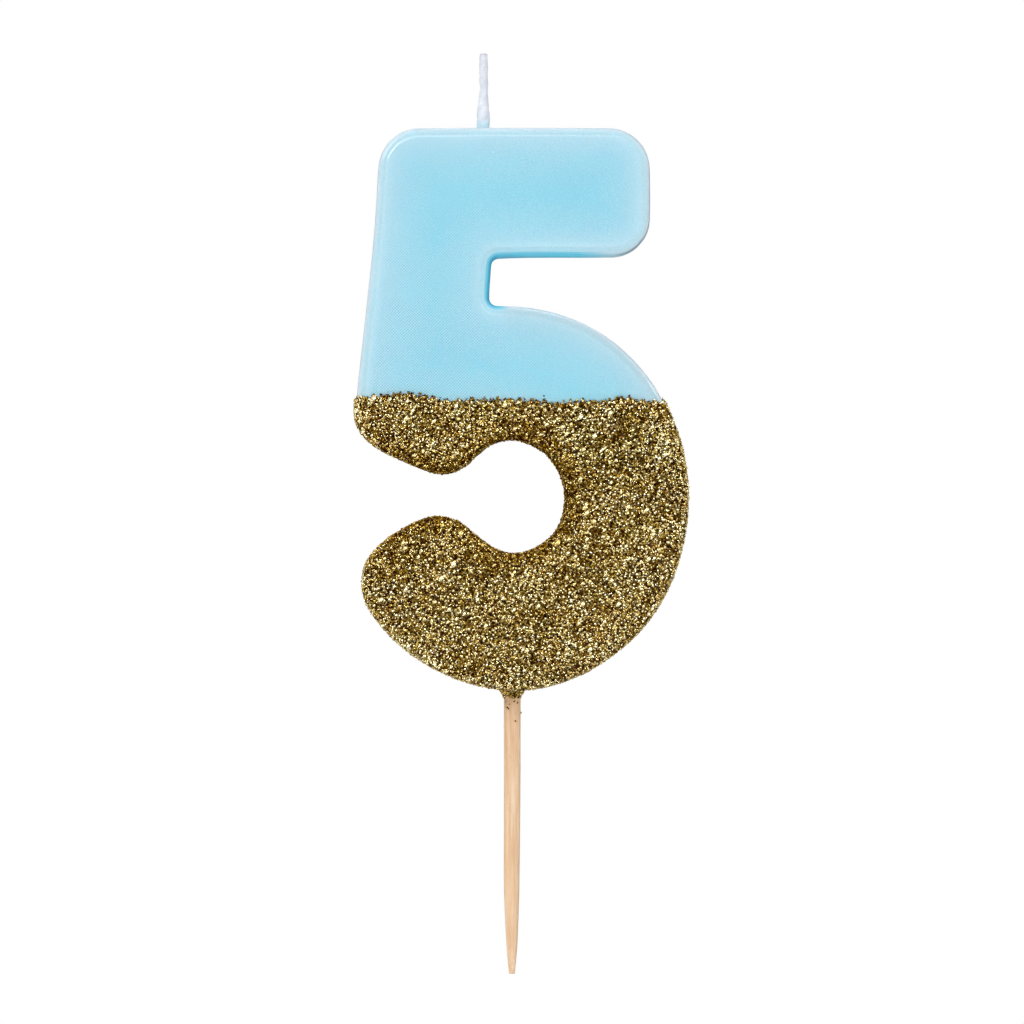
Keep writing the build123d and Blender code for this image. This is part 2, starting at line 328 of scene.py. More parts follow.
def inside(poly, pts):
    """Which points lie inside a closed polygon."""
    x, y = pts[:, 0], pts[:, 1]
    hit = np.zeros(len(pts), bool)
    px, py = poly[:, 0], poly[:, 1]
    qx, qy = np.roll(px, -1), np.roll(py, -1)
    for a, b, c, d in zip(px, py, qx, qy):
        cross = ((b > y) != (d > y)) & (x < (c - a) * (y - b) / (d - b + 1e-12) + a)
        hit ^= cross
    return hit


def outline_distance(p, which=None):
    """Distance from points (x, z) to the outline's stations (or to some of them) and the index of the nearest."""
    stations = np.arange(len(outline)) if which is None else np.where(which)[0]
    line = outline[stations].astype(np.float32)
    out, near = np.empty(len(p)), np.empty(len(p), int)
    for s in range(0, len(p), 4000):
        q = p[s:s + 4000].astype(np.float32)
        d = (q[:, [0]] - line[None, :, 0]) ** 2 + (q[:, [1]] - line[None, :, 1]) ** 2
        k = d.argmin(1)
        near[s:s + 4000] = stations[k]
        out[s:s + 4000] = np.sqrt(d[np.arange(len(q)), k])
    return out, near


# ------------------------------------------------------------------ shader helpers
class Nodes:
    """A small builder for material node trees."""

    def __init__(self, name):
        self.mat = bpy.data.materials.new(name)
        self.mat.use_nodes = True
        self.tree = self.mat.node_tree
        self.tree.nodes.clear()
        self.out = self.tree.nodes.new("ShaderNodeOutputMaterial")
        self.bsdf = self.tree.nodes.new("ShaderNodeBsdfPrincipled")
        self.tree.links.new(self.bsdf.outputs[0], self.out.inputs[0])

    def put(self, socket, value):
        if hasattr(value, "is_output"):
            self.tree.links.new(value, socket)
        else:
            if isinstance(value, tuple) and len(value) == 3 and socket.type == "RGBA":
                value = value + (1.0,)
            socket.default_value = value

    def set(self, **kw):
        for k, v in kw.items():
            self.put(self.bsdf.inputs[k.replace("_", " ")], v)
        return self

    def node(self, kind, **props):
        n = self.tree.nodes.new("ShaderNode" + kind)
        for k, v in props.items():
            setattr(n, k, v)
        return n

    def math(self, op, a, b=None, c=None, clamp=False):
        n = self.node("Math", operation=op, use_clamp=clamp)
        self.put(n.inputs[0], a)
        if b is not None:
            self.put(n.inputs[1], b)
        if c is not None:
            self.put(n.inputs[2], c)
        return n.outputs[0]

    def mix(self, fac, a, b, blend="MIX"):
        n = self.node("Mix", data_type="RGBA", blend_type=blend)
        self.put(n.inputs["Factor"], fac)
        self.put(n.inputs[6], a)
        self.put(n.inputs[7], b)
        return n.outputs[2]

    def lerp(self, fac, a, b):
        n = self.node("Mix", data_type="FLOAT")
        self.put(n.inputs["Factor"], fac)
        self.put(n.inputs[2], a)
        self.put(n.inputs[3], b)
        return n.outputs[0]

    def coord(self, scale=(1000, 1000, 1000), rotation=(0, 0, 0), location=(0, 0, 0)):
        t = self.node("TexCoord")
        m = self.node("Mapping")
        m.inputs["Scale"].default_value = scale
        m.inputs["Rotation"].default_value = rotation
        m.inputs["Location"].default_value = location
        self.tree.links.new(t.outputs["Object"], m.inputs["Vector"])
        return m.outputs[0]

    def xyz(self, vec):
        n = self.node("SeparateXYZ")
        self.put(n.inputs[0], vec)
        return n.outputs

    def noise(self, vec, scale, detail=2.0, rough=0.5, dims="3D", distortion=0.0):
        n = self.node("TexNoise", noise_dimensions=dims)
        self.put(n.inputs["Vector"], vec)
        n.inputs["Scale"].default_value = scale
        n.inputs["Detail"].default_value = detail
        n.inputs["Roughness"].default_value = rough
        n.inputs["Distortion"].default_value = distortion
        return n.outputs["Fac"]

    def voronoi(self, vec, scale, feature="F1", randomness=1.0):
        n = self.node("TexVoronoi", feature=feature)
        self.put(n.inputs["Vector"], vec)
        n.inputs["Scale"].default_value = scale
        n.inputs["Randomness"].default_value = randomness
        return n

    def ramp(self, fac, stops, mode="LINEAR"):
        n = self.node("ValToRGB")
        n.color_ramp.interpolation = mode
        e = n.color_ramp.elements
        while len(e) > 1:
            e.remove(e[-1])
        e[0].position, e[0].color = stops[0][0], as_rgba(stops[0][1])
        for pos, col in stops[1:]:
            x = e.new(pos)
            x.color = as_rgba(col)
        self.put(n.inputs[0], fac)
        return n.outputs[0]

    def map(self, v, a, b, c, d, smooth=False):
        n = self.node("MapRange", interpolation_type="SMOOTHSTEP" if smooth else "LINEAR")
        n.clamp = True
        self.put(n.inputs["Value"], v)
        for k, x in (("From Min", a), ("From Max", b), ("To Min", c), ("To Max", d)):
            self.put(n.inputs[k], x)
        return n.outputs[0]

    def bump(self, height, strength, distance, normal=None):
        n = self.node("Bump")
        self.put(n.inputs["Strength"], strength)
        n.inputs["Distance"].default_value = distance
        self.put(n.inputs["Height"], height)
        if normal is not None:
            self.put(n.inputs["Normal"], normal)
        return n.outputs[0]

    def attribute(self, name):
        n = self.node("Attribute", attribute_name=name)
        return n.outputs["Fac"]


def as_rgba(c):
    if isinstance(c, (int, float)):
        return (c, c, c, 1.0)
    return tuple(c) + (1.0,) if len(c) == 3 else tuple(c)


def srgb(r, g, b):
    """0-255 display values to scene-linear."""
    def f(v):
        v /= 255.0
        return v / 12.92 if v <= 0.04045 else ((v + 0.055) / 1.055) ** 2.4
    return (f(r), f(g), f(b))


# ------------------------------------------------------------------ wax numeral
def wax_profile():
    half = 4.0
    prof = []
    for a in np.linspace(0, 90, 6):                       # small round at the back
        prof.append((0.6 - 0.6 * math.sin(math.radians(a)), half - 0.6 + 0.6 * math.cos(math.radians(a))))
    prof = [(1.6, half), (1.0, half)] + prof
    for t in np.linspace(0.12, 1, 8):                     # drafted side wall
        prof.append((0.12 * t, (half - 0.6) + (-3.30 - (half - 0.6)) * t))
    # tight turn onto a gently crowned rim, a fine lip, then the flat face
    for a in np.linspace(12, 72, 7):
        prof.append((0.12 + 0.42 * (1 - math.cos(math.radians(a))), -3.30 - 0.54 * math.sin(math.radians(a))))
    prof += [(0.54, -3.858), (0.66, -3.884), (0.82, -3.904), (0.94, -3.914), (1.01, -3.923), (1.05, -3.938), (1.09, -3.957), (1.13, -3.972), (1.17, -3.981),
             (1.22, -3.984), (1.30, -3.982), (1.42, -3.977), (1.60, -3.970), (1.80, -3.964), (2.05, -3.960)]
    return prof


verts, faces, inset = ring_body("wax", wax_profile(), 0.9, 4.0)
p = verts.copy()
flat = (inset > 1.2)
front = (p[:, 1] < 0)
swell = smooth_noise(p * (1, 0, 1), 16.0, 5) * 0.018 + smooth_noise(p * (1, 0, 1), 6.0, 6) * 0.006
p[:, 1] += np.where(flat & front, swell, 0) + np.where(flat & ~front, swell * 1.5 - 0.03, 0)
# the lip fades out along the bowl and is fainter at the bar's right end
soft = np.clip(0.9 * bowl_weight + 0.85 * np.clip(outward[:, 0], 0, 1) * (1 - notch_weight), 0, 0.9)
soft = np.convolve(np.r_[soft[-4:], soft, soft[:4]], np.ones(9) / 9, "valid")
soft = np.tile(soft, len(wax_profile()))
calm = np.interp(inset[:len(soft)], [0.54, 0.94, 1.3, 2.05], [-3.858, -3.915, -3.942, -3.960])
on_lip = front[:len(soft)] & (inset[:len(soft)] >= 0.54)
p[:len(soft), 1] += np.where(on_lip, (calm - verts[:len(soft), 1]) * soft, 0)
wax = make_mesh("numeral_wax_body", p * MM, faces)
point_attribute(wax, "rim", np.clip(inset, 0, 4))
ring_count = len(wax_profile())
station = np.tile(np.arange(len(outline)), ring_count)
n_ring = len(station)
# notch tint: painted bounce light and shade that deepen the wax to a saturated blue on the notch's walls
lip_fall = np.clip((0.54 - inset[:n_ring]) / 0.10, 0, 1)
tint = np.zeros(len(p))
tint[:n_ring] = np.clip(notch_weight[station] * 1.7, 0, 1) * lip_fall
point_attribute(wax, "notch", tint)
# painted shade on the side walls, strongest on walls facing right and down, away from the key light
dark = np.zeros(len(p))
dark[:n_ring] = (0.30 - 0.10 * bowl_weight[station] + 0.80 * shade_side[station]).clip(0, 1) * np.clip((0.34 - inset[:n_ring]) / 0.12, 0, 1) * (1 - notch_weight[station])
point_attribute(wax, "dark", dark)
# distance in from the edge that drives the painted glow of light through the thin edge; held back near the notch
far = np.array(inset, float)
depth = np.minimum(p[:n_ring, 1] + 3.9, 4.0 - p[:n_ring, 1])
far[:n_ring] = np.where(inset[:n_ring] < 0.6, np.maximum(far[:n_ring], depth * 1.15), far[:n_ring])
far[n_ring:], near = outline_distance(p[n_ring:][:, [0, 2]])
beside = np.r_[station, near]
far += 2.0 * notch_weight[beside] * np.clip(1.6 - np.array(inset), 0.35, 1)
point_attribute(wax, "edge", np.clip(far, 0, 12))
point_attribute(wax, "dull", np.convolve(np.r_[bowl_weight[-3:], bowl_weight, bowl_weight[:3]], np.ones(7) / 7, "valid")[beside])

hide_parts("numeral_wax")
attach(wax, "candle")


# painted light at the thin edge: the pale glow where light comes through (WAX_EDGE, WAX_RIM, greyer along the bowl),
# and the painted shade on the outer turn (WAX_TURN)
WAX_EDGE = srgb(202, 227, 237)
WAX_RIM = srgb(194, 218, 227)
WAX_TURN = srgb(199, 211, 222)


def wax_material():
    m = Nodes("blue_wax")
    at = m.coord()
    x, y, z = m.xyz(at)
    rim = m.attribute("rim")
    notch = m.attribute("notch")
    cloud = m.noise(at, 0.06, 3, 0.55)
    body = m.mix(m.map(cloud, 0.35, 0.65, 0, 1, True), srgb(139, 213, 233), srgb(146, 218, 236))
    # paler toward the edges, where light comes through from the sides
    edge = m.attribute("edge")
    fade_in = m.ramp(m.math("DIVIDE", edge, 10.0), [(0.0, (1, 1, 1)), (0.03, (0.93, 0.93, 0.93)), (0.10, (0.76, 0.76, 0.76)), (0.2, (0.58, 0.58, 0.58)),
                                                  (0.32, (0.36, 0.36, 0.36)), (0.5, (0.20, 0.20, 0.20)), (0.8, (0, 0, 0))])
    dull = m.attribute("dull")
    pale = m.mix(m.xyz(fade_in)[0], body, m.mix(m.map(rim, 0.95, 1.35, 0, 1, True), m.mix(dull, WAX_RIM, srgb(184, 203, 211)), m.mix(m.math("MULTIPLY", dull, 0.75), WAX_EDGE, srgb(192, 213, 222))))
    # painted shade: the outer turn onto the front rim is greyed
    outer = m.map(rim, 0.42, 0.60, 1, 0, True)
    pale = m.mix(m.math("MULTIPLY", outer, m.map(y, -3.4, -2.6, 0.85, 0.0)), pale, WAX_TURN)
    # painted highlight: a faint white line along the fine lip
    lip = m.map(rim, 0.95, 1.12, 0, 1, True)
    lip = m.math("MULTIPLY", lip, m.map(rim, 1.18, 1.40, 1, 0, True))
    pale = m.mix(m.math("MULTIPLY", lip, 0.06), pale, srgb(232, 244, 250))
    # painted shade: side walls darken to grey-blue at grazing angles
    weight = m.node("LayerWeight")
    weight.inputs["Blend"].default_value = 0.5
    grazing = m.map(weight.outputs["Facing"], 0.30, 0.80, 0, 1, True)
    dark = m.math("MULTIPLY", m.attribute("dark"), grazing)
    pale = m.mix(m.math("MULTIPLY", dark, 0.95, clamp=True), pale, srgb(104, 138, 150))
    # painted bounce light and shade: the notch's walls deepen to saturated blue, more at grazing angles
    deep = m.mix(m.map(y, -1.0, 1.4, 0, 1, True), srgb(62, 200, 230), srgb(46, 174, 208))
    colour = m.mix(m.math("MULTIPLY", notch, m.lerp(grazing, 0.68, 1.0), clamp=True), pale, deep)
    # fine diagonal tool marks pressed from the mould, strongest low on the left
    lines = m.node("TexWave", wave_type="BANDS", bands_direction="X", wave_profile="SIN")
    turned = m.coord(rotation=(0, math.radians(-45), 0))
    m.put(lines.inputs["Vector"], turned)
    lines.inputs["Scale"].default_value = 2 * math.pi / 0.27 / 20.0
    lines.inputs["Distortion"].default_value = 0.5
    lines.inputs["Detail"].default_value = 1.0
    lines.inputs["Detail Scale"].default_value = 0.6
    cross = m.node("TexWave", wave_type="BANDS", bands_direction="X", wave_profile="SIN")
    m.put(cross.inputs["Vector"], m.coord(rotation=(0, math.radians(45), 0)))
    cross.inputs["Scale"].default_value = 2 * math.pi / 0.25 / 20.0
    cross.inputs["Distortion"].default_value = 0.5
    weave = m.math("ADD", m.math("MULTIPLY", lines.outputs["Fac"], 0.58), m.math("MULTIPLY", cross.outputs["Fac"], 0.42))
    left = m.map(x, 12.0, -14.0, 0.22, 1.0, True)
    low = m.map(z, 70.0, 42.0, 0.32, 1.0, True)
    where = m.math("MULTIPLY", m.math("MULTIPLY", left, low), m.map(m.noise(at, 0.35, 2, 0.6), 0.3, 0.62, 0.35, 1.0))
    where = m.math("MULTIPLY", where, m.map(rim, 1.3, 2.4, 0, 1, True))
    fine = m.noise(at, 4.0, 3, 0.65)
    line_h = m.math("MULTIPLY", weave, where)
    colour = m.mix(m.math("MULTIPLY", where, 0.70), colour, m.mix(weave, srgb(70, 172, 206), srgb(218, 249, 255)))
    speckle = m.map(fine, 0.3, 0.7, 0.06, 0.22)
    colour = m.mix(m.math("MULTIPLY", speckle, m.map(notch, 0, 0.5, 1, 0)), colour, m.mix(m.map(m.noise(at, 6.5, 1), 0.32, 0.68, 0, 1), srgb(112, 186, 212), srgb(232, 247, 252)))
    # rare specks and pinholes
    specks = m.voronoi(at, 0.23)
    spot = m.map(specks.outputs["Distance"], 0.02, 0.034, 1, 0, True)
    colour = m.mix(m.math("MULTIPLY", spot, 0.5), colour, m.mix(m.map(m.noise(at, 0.4, 0), 0.45, 0.55, 0, 1), srgb(104, 170, 196), srgb(240, 250, 252)))
    h = m.math("ADD", m.math("MULTIPLY", line_h, 0.55), m.math("MULTIPLY", fine, 0.35))
    h = m.math("ADD", h, m.math("MULTIPLY", m.noise(at, 0.5, 2, 0.5), 0.8))
    normal = m.bump(h, 0.22, 0.00004)
    m.set(Base_Color=colour, Roughness=m.lerp(m.map(fine, 0.3, 0.7, 0, 1), 0.34, 0.46), IOR=1.44,
          Subsurface_Weight=m.lerp(notch, 0.85, 0.45), Subsurface_Radius=(0.55, 0.95, 1.0), Subsurface_Scale=0.0016, Normal=normal)
    clear = m.map(notch, 0.0, 0.5, 1.0, 0.12)
    clear = m.math("MULTIPLY", clear, m.map(m.math("MULTIPLY", outer, m.math("SUBTRACT", 1.0, m.math("MULTIPLY", dull, 0.8))), 0, 1, 1.0, 0.30))
    m.put(m.bsdf.inputs["Specular IOR Level"], m.math("MULTIPLY", clear, 0.42))
    m.put(m.bsdf.inputs["Coat Weight"], m.math("MULTIPLY", clear, m.lerp(m.math("MULTIPLY", lip, m.math("SUBTRACT", 1.0, dull)), m.lerp(m.math("MULTIPLY", outer, dull), m.lerp(dull, 0.45, 0.15), 1.0), 0.8)))
    m.put(m.bsdf.inputs["Coat Roughness"], m.math("MULTIPLY", m.map(fine, 0.3, 0.7, 0.07, 0.12), m.lerp(lip, 1.0, 0.7)))
    return m.mat


wax.data.materials.append(wax_material())


# ------------------------------------------------------------------ glitter
line_x = np.array([-24.0, -18.6, -16.1, -13.6, -10.8, -8.3, -5.2, 0.0, 3.2, 5.6, 8.4, 11.4, 13.9, 16.6, 19.0, 24.0])
line_z = np.array([37.9, 38.05, 38.15, 38.5, 38.2, 37.55, 37.7, 37.75, 37.6, 37.25, 37.6, 37.4, 38.0, 37.45, 37.7, 37.5])


def dip_line(x, y):
    """Height of the coat's top edge, uneven along the front and round the back."""
    back = np.clip((y + 3.5) / 7.0, 0, 1)
    base = np.interp(x, line_x, line_z)
    other = 37.6 + 0.45 * np.sin(x * 0.42 + 1.3) + 0.2 * np.sin(x * 1.3)
    fine = 0.16 * np.sin(x * 4.1 + y * 2.3) + 0.13 * np.sin(x * 7.7 - y * 3.1 + 2) + 0.1 * np.sin(x * 13.0 + y * 5 + 1)
    return base * (1 - back) + other * back + fine


def bed_profile(t):
    """The coat's outer surface: the wax profile pushed out by t mm and divided finely."""
    base = np.array(wax_profile())
    keep = np.ones(len(base), bool)
    keep[(base[:, 0] > 1.0) & (base[:, 0] < 1.5) & (base[:, 1] < 0)] = False
    base = base[keep]
    tan = np.gradient(base, axis=0)
    tan /= np.linalg.norm(tan, axis=1)[:, None]
    out = base + np.c_[tan[:, 1], -tan[:, 0]] * t
    seg = np.linalg.norm(np.diff(out, axis=0), axis=1)
    cum = np.r_[0, np.cumsum(seg)]
    at = np.linspace(0, cum[-1], int(cum[-1] / 0.30))
    return [(float(np.interp(a, cum, out[:, 0])), float(np.interp(a, cum, out[:, 1]))) for a in at]


bed_t = 0.09
bverts, bfaces, binset = ring_body("bed", bed_profile(bed_t), 0.34, 4.0)
bfaces_arr = [f for f in bfaces]
centre = np.array([bverts[list(f)].mean(0) for f in bfaces_arr])
keep = centre[:, 2] < dip_line(centre[:, 0], centre[:, 1]) - 0.12
bfaces_kept = [f for f, k in zip(bfaces_arr, keep) if k]
used = np.unique(np.concatenate([np.array(f) for f in bfaces_kept]))
new_index = np.full(len(bverts), -1)
new_index[used] = np.arange(len(used))
bverts = bverts[used]
binset = binset[used]
bfaces_kept = [tuple(int(new_index[i]) for i in f) for f in bfaces_kept]
bed = make_mesh("glitter_bed", bverts * MM, bfaces_kept)
bed.data.update()
bn = np.zeros(len(bed.data.vertices) * 3, np.float32)
bed.data.vertex_normals.foreach_get("vector", bn)
bn = bn.reshape(-1, 3).astype(float)
smooth_bed = bverts.copy()
rough = grain(bverts, 0.42, 3) * 0.055 + grain(bverts, 0.9, 9) * 0.04
bed_co = bverts + bn * rough[:, None]
bed.data.vertices.foreach_set("co", (bed_co * MM).astype(np.float32).ravel())
bed.data.update()
skirt = bed.modifiers.new("thick", "SOLIDIFY")
skirt.thickness = 0.22 * MM
skirt.offset = -1.0
skirt.use_rim = True
bpy.context.view_layer.objects.active = bed
with bpy.context.temp_override(object=bed, active_object=bed, selected_objects=[bed]):
    bpy.ops.object.modifier_apply(modifier="thick")
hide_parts("glitter_bond_film")
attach(bed, "candle")


def gold_tone(m, t, hue=None):
    """Gold film from near-black shade through brass to pale champagne; hue leans it to orange or to olive."""
    warm = m.ramp(t, [(0.0, srgb(46, 11, 0)), (0.16, srgb(94, 51, 0)), (0.32, srgb(140, 103, 12)), (0.50, srgb(192, 158, 72)),
                      (0.70, srgb(237, 206, 132)), (0.85, srgb(253, 231, 162)), (1.0, srgb(255, 244, 194))])
    if hue is None:
        return warm
    cool = m.ramp(t, [(0.0, srgb(36, 15, 0)), (0.16, srgb(84, 56, 0)), (0.32, srgb(131, 106, 18)), (0.50, srgb(185, 162, 78)),
                      (0.70, srgb(231, 210, 138)), (0.85, srgb(250, 235, 168)), (1.0, srgb(255, 247, 200))])
    return m.mix(hue, warm, cool)


def bed_material():
    m = Nodes("glitter_bed")
    at = m.coord()
    cells = m.voronoi(at, 4.2)
    tone = m.xyz(cells.outputs["Color"])
    colour = gold_tone(m, m.math("MULTIPLY", tone[0], 0.62), tone[2])
    patch = m.map(m.noise(at, 0.22, 2, 0.5), 0.45, 0.7, 0, 1, True)
    colour = m.mix(m.math("MULTIPLY", patch, 0.35), colour, srgb(66, 64, 40))
    # painted shade: the seams between cells go near-black brown, where shade falls between the flakes
    gap = m.map(m.voronoi(at, 4.2, "DISTANCE_TO_EDGE").outputs["Distance"], 0.0, 0.10, 1, 0)
    colour = m.mix(m.math("MULTIPLY", gap, 0.9), colour, srgb(40, 18, 0))
    # each cell faces its own way
    tilt = m.node("VectorMath", operation="SUBTRACT")
    m.put(tilt.inputs[0], cells.outputs["Color"])
    tilt.inputs[1].default_value = (0.5, 0.5, 0.5)
    scaled = m.node("VectorMath", operation="SCALE")
    m.put(scaled.inputs[0], tilt.outputs[0])
    scaled.inputs["Scale"].default_value = 1.5
    geo = m.node("NewGeometry")
    add = m.node("VectorMath", operation="ADD")
    m.put(add.inputs[0], geo.outputs["Normal"])
    m.put(add.inputs[1], scaled.outputs[0])
    norm = m.node("VectorMath", operation="NORMALIZE")
    m.put(norm.inputs[0], add.outputs[0])
    m.set(Base_Color=colour, Metallic=m.lerp(gap, 0.95, 0.1), Roughness=m.lerp(tone[1], 0.22, 0.5), Normal=norm.outputs[0])
    return m.mat


bed.data.materials.append(bed_material())


def flake_material():
    m = Nodes("gold_flake")
    at = m.coord()
    tone = m.attribute("tone")
    drift = m.map(m.noise(at, 0.25, 2, 0.5), 0.38, 0.62, -0.25, 0.2, True)
    colour = gold_tone(m, tone, m.math("ADD", m.attribute("hue"), drift, clamp=True))
    scuff = m.noise(at, 9.0, 2, 0.6)
    rough = m.math("ADD", m.math("MULTIPLY", m.attribute("tone"), 0.06), m.map(scuff, 0.3, 0.7, 0.10, 0.24))
    # the foil reads part mirror, part satin lacquer; the dark flakes are nearly all satin
    m.set(Base_Color=colour, Metallic=m.map(tone, 0.0, 0.8, 0.50, 0.80), Roughness=rough, Normal=m.bump(scuff, 0.12, 0.00002))
    m.bsdf.inputs["Specular IOR Level"].default_value = 0.0
    m.bsdf.inputs["Specular Tint"].default_value = as_rgba(srgb(214, 186, 120))
    return m.mat


flake_mat = flake_material()


def coat_field(p):
    """How bright and how olive the coat is by place: painted shade makes it darker and browner round the hollow,
    painted light makes it brighter along the outer rim.
    """
    xz = p[:, [0, 2]]
    hollow, _ = outline_distance(xz, hole_weight > 0.5)
    outer, near = outline_distance(xz, (hole_weight < 0.5) & (outline[:, 1] < 36.0))
    level = 1 + 0.10 * np.exp(-(outer / 3.5) ** 2) + 0.08 * np.exp(-(outer / 1.0) ** 2)
    level -= 0.08 * np.exp(-(hollow / 3.6) ** 2) + 0.26 * np.exp(-(hollow / 1.6) ** 2)
    level *= 1 + 0.02 * smooth_noise(p * (1, 0, 1), 9.0, 61) + 0.015 * smooth_noise(p * (1, 0, 1), 3.5, 62)
    olive = 0.55 * np.exp(-((p[:, 0] - 12) / 5.5) ** 2 - ((p[:, 2] - 33) / 4.5) ** 2) - 0.55 * np.exp(-(hollow / 2.6) ** 2)
    olive += 0.16 * smooth_noise(p * (1, 0, 1), 7.0, 63)
    return level, olive, np.exp(-(hollow / 1.2) ** 2)


def flakes(name, pos, nrm, size_mu, tilt, lift, seed, shade=(0.0, 1.0)):
    """Thin hexagonal flakes: closed prisms, each with its own tilt, size and tone."""
    r = np.random.default_rng(seed)
    n = len(pos)
    ref = np.where(np.abs(nrm[:, [2]]) < 0.9, np.array([[0.0, 0, 1]]), np.array([[1.0, 0, 0]]))
    a = np.cross(ref, nrm)
    a /= np.linalg.norm(a, axis=1)[:, None]
    b = np.cross(nrm, a)
    g = r.normal(size=(n, 2)) * np.tan(np.radians(tilt))[:, None]
    m = nrm + a * g[:, [0]] + b * g[:, [1]]
    m /= np.linalg.norm(m, axis=1)[:, None]
    u = np.cross(ref + r.normal(size=(n, 3)) * 0.8, m)
    u /= np.linalg.norm(u, axis=1)[:, None]
    v = np.cross(m, u)
    rad = np.clip(size_mu * np.exp(r.normal(0.0, 0.24, n)), size_mu * 0.55, size_mu * 1.9)
    ang = np.radians(np.arange(6) * 60.0)
    jit = 1 + r.normal(size=(n, 6)) * 0.06
    ring = (u[:, None, :] * np.cos(ang)[None, :, None] + v[:, None, :] * np.sin(ang)[None, :, None]) * (rad[:, None] * jit)[:, :, None]
    thick = 0.028
    base = pos + nrm * lift[:, None]
    top = base[:, None, :] + ring + (m * thick / 2)[:, None, :]
    bot = base[:, None, :] + ring - (m * thick / 2)[:, None, :]
    vv = np.concatenate([top, bot], axis=1).reshape(-1, 3)
    tpl_loops = [0, 1, 2, 3, 4, 5] + [11, 10, 9, 8, 7, 6]
    for k in range(6):
        j = (k + 1) % 6
        tpl_loops += [k, 6 + k, 6 + j, j]
    tpl_sizes = [6, 6] + [4] * 6
    loops = (np.array(tpl_loops)[None, :] + (np.arange(n) * 12)[:, None]).ravel().astype(np.int32)
    sizes = np.tile(np.array(tpl_sizes), n)
    starts = np.r_[0, np.cumsum(sizes)[:-1]].astype(np.int32)
    mesh = bpy.data.meshes.new(name)
    mesh.vertices.add(len(vv))
    mesh.vertices.foreach_set("co", (vv * MM).astype(np.float32).ravel())
    mesh.loops.add(len(loops))
    mesh.loops.foreach_set("vertex_index", loops)
    mesh.polygons.add(len(sizes))
    mesh.polygons.foreach_set("loop_start", starts)
    mesh.update(calc_edges=True)
    obj = bpy.data.objects.new(name, mesh)
    scene.collection.objects.link(obj)
    level, olive, hollow = coat_field(pos)
    # tone from coat_field: painted shade round the hollow, painted light along the outer rim; flakes on the side walls
    # are a little lighter, and darker near the hollow
    tone = np.clip((r.random(n) * (shade[1] - shade[0]) + shade[0] + (np.abs(nrm[:, 1]) < 0.8) * 0.12 * (1 - 1.3 * hollow)) * level, 0, 1)
    point_attribute(obj, "hue", np.repeat(np.clip(r.random(n) ** 2.0 + olive - 0.06, 0, 1), 12))
    point_attribute(obj, "tone", np.repeat(tone, 12))
    mesh.materials.append(flake_mat)
    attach(obj, "candle")
    return obj


def surface_samples(density, seed):
    """Random points on the smooth coat, with normals, density per square millimetre by face."""
    r = np.random.default_rng(seed)
    tris = []
    for f in bfaces_kept:
        tris.append((f[0], f[1], f[2]))
        if len(f) == 4:
            tris.append((f[0], f[2], f[3]))
    tris = np.array(tris)
    a, b, c = smooth_bed[tris[:, 0]], smooth_bed[tris[:, 1]], smooth_bed[tris[:, 2]]
    area = np.linalg.norm(np.cross(b - a, c - a), axis=1) / 2
    mid = (a + b + c) / 3
    want = area * density(mid, bn[tris[:, 0]])
    count = int(want.sum())
    pick = r.choice(len(tris), count, p=want / want.sum())
    s, t = np.sqrt(r.random(count)), r.random(count)
    w = np.c_[1 - s, s * (1 - t), s * t]
    pos = a[pick] * w[:, [0]] + b[pick] * w[:, [1]] + c[pick] * w[:, [2]]
    n = bn[tris[pick, 0]] * w[:, [0]] + bn[tris[pick, 1]] * w[:, [1]] + bn[tris[pick, 2]] * w[:, [2]]
    n /= np.linalg.norm(n, axis=1)[:, None]
    return pos, n, area.sum()


share = 1.0


def under_density(mid, n):
    facing = n[:, 1]
    return np.where(facing < -0.6, 20.5, np.where(facing > 0.6, 10.0, 15.0)) * share


def over_density(mid, n):
    facing = n[:, 1]
    clump = 1 + 0.28 * smooth_noise(mid, 7.0, 41)
    return np.where(facing < -0.6, 8.6, np.where(facing > 0.6, 3.0, 4.5)) * np.clip(clump, 0.35, 2.0) * share


def lay(density, seed, label, radius, tilt_of, lift_of, shade):
    pos, nrm, area = surface_samples(density, seed)
    r = np.random.default_rng(seed + 1)
    lift, tilt = lift_of(r, len(pos)), tilt_of(r, len(pos))
    print(label, "area mm2", round(area), "flakes", len(pos))
    facing = np.where(nrm[:, 1] < -0.6, 0, np.where(nrm[:, 1] > 0.6, 2, 1))
    for g, side in ((0, "front"), (1, "side"), (2, "back")):
        idx = np.where(facing == g)[0]
        parts = max(1, int(math.ceil(len(idx) / 9000)))
        order = idx[np.argsort(pos[idx, 0])]
        for k, chunk in enumerate(np.array_split(order, parts)):
            flakes(f"glitter_{label}_{side}_{k + 1}", pos[chunk], nrm[chunk], radius * (1.0 if g == 0 else 1.12), tilt[chunk], lift[chunk],
                               seed + 10 * g + k, shade)


lay(under_density, 1100, "under", 0.125, lambda r, n: np.where(r.random(n) < 0.18, 50.0, 26.0), lambda r, n: np.abs(r.normal(0.04, 0.05, n)), (-0.12, 0.69))
lay(over_density, 2100, "over", 0.130, lambda r, n: np.full(n, 20.0), lambda r, n: 0.07 + np.abs(r.normal(0.0, 0.06, n)), (0.44, 1.28))


def chip_density(mid, n):
    return np.where(n[:, 1] < -0.6, 9.5, 1.5) * share


lay(chip_density, 4100, "chips", 0.070, lambda r, n: np.full(n, 22.0), lambda r, n: 0.12 + np.abs(r.normal(0.0, 0.06, n)), (0.0, 0.08))


